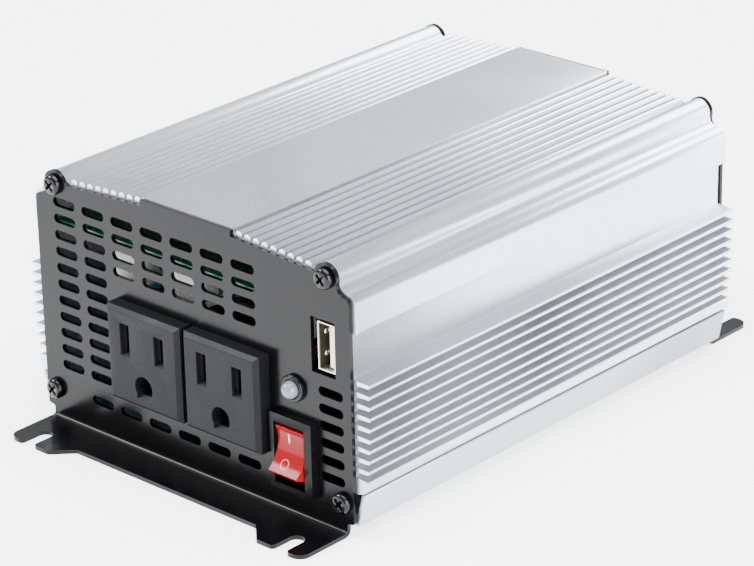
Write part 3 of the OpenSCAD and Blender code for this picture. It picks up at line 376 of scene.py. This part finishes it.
def soft_corners(outline, reach, steps=4):
    """Closed outline with each corner V swapped for the curve
    (1-t)^2 A + 2t(1-t) V + t^2 B, where A and B lie on its two sides at the given
    reach, or at 0.45 of a side that is shorter. Points on top of each other count once."""
    v = np.asarray(outline, float)
    v = v[np.linalg.norm(v - np.roll(v, 1, 0), axis=1) > 1e-4]
    before, after = np.roll(v, 1, 0) - v, np.roll(v, -1, 0) - v
    lb, la = np.linalg.norm(before, axis=1), np.linalg.norm(after, axis=1)
    a = v + before * (np.minimum(reach, 0.45 * lb) / lb)[:, None]
    b = v + after * (np.minimum(reach, 0.45 * la) / la)[:, None]
    t = np.linspace(0, 1, steps)[None, :, None]
    curve = (1 - t) ** 2 * a[:, None] + 2 * t * (1 - t) * v[:, None] + t ** 2 * b[:, None]
    return curve.reshape(-1, 2)


def inset(outline, depth):
    """Outline moved inwards by a depth along the mean of its neighbours' normals."""
    run = np.roll(outline, -1, 0) - np.roll(outline, 1, 0)
    run /= np.maximum(np.linalg.norm(run, axis=1), 1e-9)[:, None]
    return outline + depth * np.stack([-run[:, 1], run[:, 0]], 1)


def rings_to_faces(rings, count, closed_along=False):
    """Quads between successive rings of one size, plus a cap on each end."""
    i = np.arange(rings if closed_along else rings - 1)[:, None]
    k = np.arange(count)[None, :]
    a, b = i * count + k, i * count + (k + 1) % count
    c, d = ((i + 1) % rings) * count + (k + 1) % count, ((i + 1) % rings) * count + k
    quads = np.stack(np.broadcast_arrays(a, b, c, d), -1).reshape(-1, 4).tolist()
    if closed_along:
        return quads
    return quads + [list(range(count))[::-1], list(range((rings - 1) * count, rings * count))]


def extrusion(name, outline, y0, y1, edge, **kw):
    """Outline in X and Z carried along Y, with a narrow slanted rim at each end that
    catches the light. The sign of its area, half the sum of x dz - z dx, tells which way
    it runs, and so which way round its faces go to point outwards."""
    small = inset(outline, edge)
    rows = [(small, y0), (outline, y0 + edge), (outline, y1 - edge), (small, y1)]
    points = np.concatenate([np.insert(o, 1, y, axis=1) for o, y in rows])
    faces = rings_to_faces(len(rows), len(outline))
    ahead = np.roll(outline, -1, 0) - outline
    if np.sum(outline[:, 0] * ahead[:, 1] - outline[:, 1] * ahead[:, 0]) > 0:
        faces = [face[::-1] for face in faces]
    return add_piece(name, points, faces, **kw)


def turned(name, profile, centre, count=64, closed=False, **kw):
    """Profile of (radius, depth along +Y), turned about an axis along Y through a centre:
    x = r cos a, z = r sin a. The profile goes from the back to the front on its outer side.
    A radius of zero is drawn as a ring too small to see."""
    profile = np.asarray(profile, float)
    a = np.linspace(0, 2 * np.pi, count, endpoint=False)
    r, y = np.maximum(profile[:, 0], 1e-4)[:, None], profile[:, 1][:, None]
    x, z = centre[0] + r * np.cos(a), centre[2] + r * np.sin(a)
    points = np.stack([x, centre[1] + y + 0 * a, z], -1)
    faces = rings_to_faces(len(profile), count, closed)
    return add_piece(name, points.reshape(-1, 3), faces, **kw)


def softened(node, name, width, segments=2, angle=30, material=None):
    """Copy of a CAD node with its flat faces made whole and its edges rounded."""
    mesh = frame["nodes"][node].data.copy()
    mesh.name = name
    bm = bmesh.new()
    bm.from_mesh(mesh)
    bmesh.ops.remove_doubles(bm, verts=bm.verts, dist=2e-6)
    bmesh.ops.dissolve_limit(bm, angle_limit=math.radians(0.6), verts=bm.verts, edges=bm.edges)
    bm.to_mesh(mesh)
    bm.free()
    obj = bpy.data.objects.new(name, mesh)
    dress(obj, node, None, None, material, sharp=40)
    bevel = obj.modifiers.new("rounded_edges", "BEVEL")
    bevel.width, bevel.segments = width * MM, segments
    bevel.limit_method, bevel.angle_limit = "ANGLE", math.radians(angle)
    bevel.harden_normals = True
    bevel.use_clamp_overlap = True
    return obj


# ---------------------------------------------------------------- case

def ridge_foot(x):
    """Height of the ridges' feet: a straight slope out from the foot of the plateau."""
    return TOP_Z - PLATEAU_STEP - (x - PLATEAU_X) * RIDGE_SLOPE


def ridge_line():
    """Ridges, each a little more than half a circle between two points in its grooves."""
    ridges = []
    for k in range(RIDGE_COUNT):
        x = PLATEAU_X + 1.9 + RIDGE_PITCH * k
        low = ridge_foot(x) - GROOVE_DEPTH
        ridges += [[[x - 0.98, low]], arc((x, ridge_foot(x) + 0.15), RIDGE_R, 188, -8, 12),
                   [[x + 0.98, low]]]
    return ridges


def ear_line():
    """Fillet, round screw ear, hollow and shoulder: four circles, each touching the next."""
    foot_z = ridge_foot(WALL_X - 11.15)
    rise = foot_z + FILLET_R - EAR[1]
    fillet = np.array([EAR[0] - math.sqrt((EAR_R + FILLET_R) ** 2 - rise ** 2),
                       foot_z + FILLET_R])
    hollow = touching(EAR, EAR_R, SHOULDER, SHOULDER_R, HOLLOW_R)
    to_ear, to_hollow = heading(fillet, EAR), heading(EAR, hollow)
    to_shoulder = heading(hollow, SHOULDER)
    return [arc(fillet, FILLET_R, -90, to_ear, 6),
            arc(EAR, EAR_R, 180 + to_ear, to_hollow, 26),
            arc(hollow, HOLLOW_R, 180 + to_hollow, 360 + to_shoulder, 12),
            arc(SHOULDER, SHOULDER_R, 180 + to_shoulder, 10, 10)]


def fin_place(k):
    """Tip and upper face of fin k; from the seventh on, each is a little shorter."""
    return WALL_X + FIN_REACH - 0.27 * max(0, k - 5), FIN_TOP_Z - FIN_PITCH * k


def fin_line():
    """Tapered blade fins, then a ledge whose face is a quarter of an ellipse that falls
    to the tray's lip."""
    fins = []
    for k in range(FIN_COUNT):
        tip, z = fin_place(k)
        fins.append([[WALL_X, z + 0.15], [tip, z], [tip, z - 0.9], [WALL_X, z - 1.05]])
    tip, z = fin_place(FIN_COUNT)
    middle_x, upper_z = WALL_X + 2.9, z - 0.2
    down = np.radians(np.linspace(0, 90, 9))
    ledge = np.stack([middle_x + (tip - middle_x) * np.cos(down),
                      upper_z - (upper_z - LIP_Z - 0.4) * np.sin(down)], 1)
    return fins + [[[WALL_X, z + 0.2], [tip - 0.2, z]], ledge, [[WALL_X, LIP_Z - 0.5]]]


def inner_line():
    """Inner side, going up: bottom flange, two rails that hold the board, and the roof."""
    rail_x, flange_x, flange_z = INNER_X - 2.2, WALL_X - 11.4, FLOOR_Z + 1.8
    flange = [[WALL_X, FLOOR_Z], [flange_x, FLOOR_Z], [flange_x, flange_z], [INNER_X, flange_z]]
    rails = [[x, BOARD_Z + z] for low, high in ((-1.4, -0.2), (1.8, 3.0))
             for x, z in ((INNER_X, low), (rail_x, low), (rail_x, high), (INNER_X, high))]
    roof = [[INNER_X, TOP_Z - 11.1], [EAR[0] + 2.6, TOP_Z - 8.4], [EAR[0] - 2.4, TOP_Z - 7.7],
            [EAR[0] - 4.4, TOP_Z - 5], [PLATEAU_X + 0.8, TOP_Z - 3.4],
            [PLATEAU_X - 0.6, TOP_Z - 2.3]]
    return [flange, rails, roof]


def shell_half():
    """Right half of the shell's outline, from the plateau's edge out, down and back inside."""
    start = [[PLATEAU_X, TOP_Z], [PLATEAU_X, ridge_foot(PLATEAU_X)]]
    eave = [[EAVE_X, EAVE_Z], [EAVE_X, EAVE_Z - 0.6], [WALL_X, EAVE_Z - 1.3]]
    return np.concatenate([start, *ridge_line(), *ear_line(), eave, *fin_line(), *inner_line()])


def both_sides(half):
    """Right half of an outline, then its mirror image, round to the start."""
    return np.concatenate([half, half[::-1] * [-1, 1]])


extrusion("case_shell", soft_corners(both_sides(shell_half()), 0.22),
          -CASE_HALF_L, CASE_HALF_L, 0.035, node="top_shell", sharp=50)

TRAY_HALF = np.array([[WALL_X + 1.6, LIFT], [WALL_X + 3.6, LIP_Z - 0.3], [WALL_X + 3.3, LIP_Z],
                      [WALL_X + 2.5, LIP_Z], [WALL_X + 0.5, FLOOR_Z + 0.6],
                      [WALL_X + 0.1, FLOOR_Z]])
extrusion("case_tray", soft_corners(both_sides(TRAY_HALF[::-1])[::-1], 0.3),
          -CASE_HALF_L, CASE_HALF_L, 0.12, node="base_tray", sharp=50)

softened("front_panel", "front_sheet", 0.14)
softened("rear_panel", "rear_sheet", 0.14)
softened("front_panel_screws", "front_screws", 0.16, angle=25)
softened("rear_panel_screws", "rear_screws", 0.16, angle=25)

# ---------------------------------------------------------------- front fittings

softened("outlet_left", "outlet_body_left", 0.28, segments=3)
softened("outlet_right", "outlet_body_right", 0.28, segments=3)
softened("switch_housing", "switch_frame", 0.22, segments=3, material=STIPPLED_BLACK)
softened("switch_rocker", "rocker", 0.55, segments=4)
softened("usb_shell", "usb_sleeve", 0.12)
softened("usb_tongue", "usb_tongue_soft", 0.15)

PILOT = (LED_X, FRONT_Y, LED_Z)
DOME = np.concatenate([[[0, 4.0], [2.75, 4.0], [2.75, 3.05], [2.35, 3.0]],
                       arc((0, -1.5), 2.35, 0, -90, 20)])
turned("pilot_dome", DOME, PILOT, node="led_lens", sharp=50)
RING = np.concatenate([[[2.4, 2.9], [2.4, -0.9], [2.6, -1.25], [2.95, -1.32]],
                       arc((3.15, -0.77), 0.55, -90, 0, 8),
                       [[3.7, 0.0], [3.1, 0.0], [3.1, 2.9]]])
turned("pilot_ring", RING[::-1], PILOT, closed=True, node="led_bezel", sharp=50)


def button(name, centre, radius, rise, **kw):
    """Shallow dome on a wall that faces +X: it stands rise sin t out where its radius is
    radius cos t, for t from 0 to almost a right angle."""
    t = np.linspace(0, 0.499 * np.pi, 7)[:, None]
    a = np.linspace(0, 2 * np.pi, 24, endpoint=False)
    r = radius * np.cos(t)
    y, z = centre[1] + r * np.cos(a), centre[2] + r * np.sin(a)
    points = np.stack([centre[0] + rise * np.sin(t) + 0 * a, y, z], -1)
    return add_piece(name, points.reshape(-1, 3), rings_to_faces(len(t), len(a)), **kw)


# The sleeve's far wall is in shade, painted as a thin dark sheet on it; the tips of two spring
# tongues stand on it.
SLEEVE_WALL = np.array([(-75.3, -6.2), (-63.0, -6.2), (-63.0, 6.2), (-75.3, 6.2)]) + [0, USB_Z]
# Thin dark sheet just inside the sleeve's left wall: painted shade, not a real lining.
PAINTED_SHADE_SHEET = np.concatenate([np.insert(SLEEVE_WALL, 0, USB_WALL_X + off, axis=1)
                         for off in (0.03, 0.10)])
add_piece("usb_inner_shade", PAINTED_SHADE_SHEET, rings_to_faces(2, 4), body="case", slot="usb_metal",
          material=TIN_IN_PAINTED_SHADE)
# The spring tips are real domes; their lighter tin is a painted highlight.
for side, offset in (("low", -3.0), ("high", 3.0)):
    button("usb_spring_dot_" + side, (USB_WALL_X + 0.1, FRONT_Y + 3.3, USB_Z + offset), 0.8, 0.4,
           body="case", slot="usb_metal", material=TIN_WITH_PAINTED_HIGHLIGHT)


def rocker_face(across, down):
    """Place on the rocker's hollow face in the CAD's frame: a circle whose middle lies in
    front of it, with 'down' measured along the curve, tipped about the hinge."""
    r = (ROCKER_HALF ** 2 + ROCKER_HOLLOW ** 2) / (2 * ROCKER_HOLLOW)
    turn = down / r
    y = -ROCKER_REACH - r * (1 - np.cos(turn))
    z = -r * np.sin(turn)
    c, s = math.cos(ROCKER_TIP), math.sin(ROCKER_TIP)
    return np.stack([SWITCH_X + across, PIVOT_Y + y * c - z * s, SWITCH_Z + y * s + z * c], -1)


def mark(name, outlines, material):
    """Flat mark a little proud of the rocker: rings of (across, down) points, the inner
    ring first, on the face and just in front of it."""
    inner, outer = (rocker_face(*outline) for outline in outlines)
    out = np.array([0, -0.07, 0])
    points = np.concatenate([inner, inner + out, outer + out, outer])
    return add_piece(name, points, rings_to_faces(4, len(inner), closed_along=True),
                     body="switch_rocker", slot="rocker_red", material=material)


AROUND = np.linspace(0, 2 * np.pi, 40, endpoint=False)


def oval(middle, half_width, half_height):
    """Closed ring of (across, down) points: an ellipse about a middle."""
    return middle[0] + half_width * np.cos(AROUND), middle[1] + half_height * np.sin(AROUND)


mark("rocker_ring_mark", [oval((-0.8, 3.65), r, r * 1.12) for r in (1.1, 1.32)], MARK_PINK)
mark("rocker_line_mark", [oval((-0.7, -3.5), w, h) for w, h in ((0.02, 1.2), (0.2, 1.5))],
     MARK_WHITE)


# ---------------------------------------------------------------- rear fittings

for node_name, width in (("red_knob", 0.35), ("black_knob", 0.35), ("post_bushes", 0.3),
                         ("post_nuts", 0.2), ("fan_screws", 0.16), ("tray_screws", 0.16)):
    softened(node_name, node_name + "_soft", width, angle=25)


# ---------------------------------------------------------------- studio

def studio_floor():
    """Broad pale floor, level with the feet."""
    half = 3.0
    mesh = bpy.data.meshes.new("studio_floor")
    corners = [(-half, -half, 0), (half, -half, 0), (half, half, 0), (-half, half, 0)]
    mesh.from_pydata(corners, [], [(0, 1, 2, 3)])
    obj = bpy.data.objects.new("studio_floor", mesh)
    bpy.context.collection.objects.link(obj)
    f = Finish("pale_floor", (0.86, 0.86, 0.87), roughness=0.7, Specular_IOR_Level=0.2,
               Emission_Color=(1, 1, 1, 1), Emission_Strength=2.0)
    f.tint(f.noise(3, detail=1.0), (0.85, 0.85, 0.86), (0.87, 0.87, 0.88))
    mesh.materials.append(f.mat)


def soft_light(name, place, aim, size, power):
    """White soft box of a width and a height at a place, turned to face an aim point, in
    metres and watts."""
    data = bpy.data.lights.new(name, "AREA")
    data.shape, data.size, data.size_y = "RECTANGLE", size[0], size[1]
    data.energy = power
    obj = bpy.data.objects.new(name, data)
    turn = (Vector(place) - Vector(aim)).to_track_quat("Z", "Y").to_matrix().to_4x4()
    obj.matrix_world = Matrix.Translation(place) @ turn
    bpy.context.collection.objects.link(obj)


def studio_air(colour, strength):
    """Even light from all round."""
    world = bpy.data.worlds.new("studio_air")
    world.use_nodes = True
    background = world.node_tree.nodes["Background"]
    background.inputs["Color"].default_value = (*colour, 1)
    background.inputs["Strength"].default_value = strength
    bpy.context.scene.world = world


studio_floor()
studio_air((0.96, 0.98, 1.0), 1.4)
soft_light("top_box", (0.15, 0.1, 1.0), (0, 0, 0.03), (1.0, 1.0), 34)
soft_light("right_box", (1.0, -0.25, 0.35), (0.05, 0, 0.03), (0.9, 0.7), 28)
soft_light("front_box", (-0.75, -0.5, 0.8), (0, -0.07, 0.03), (0.45, 0.45), 18)
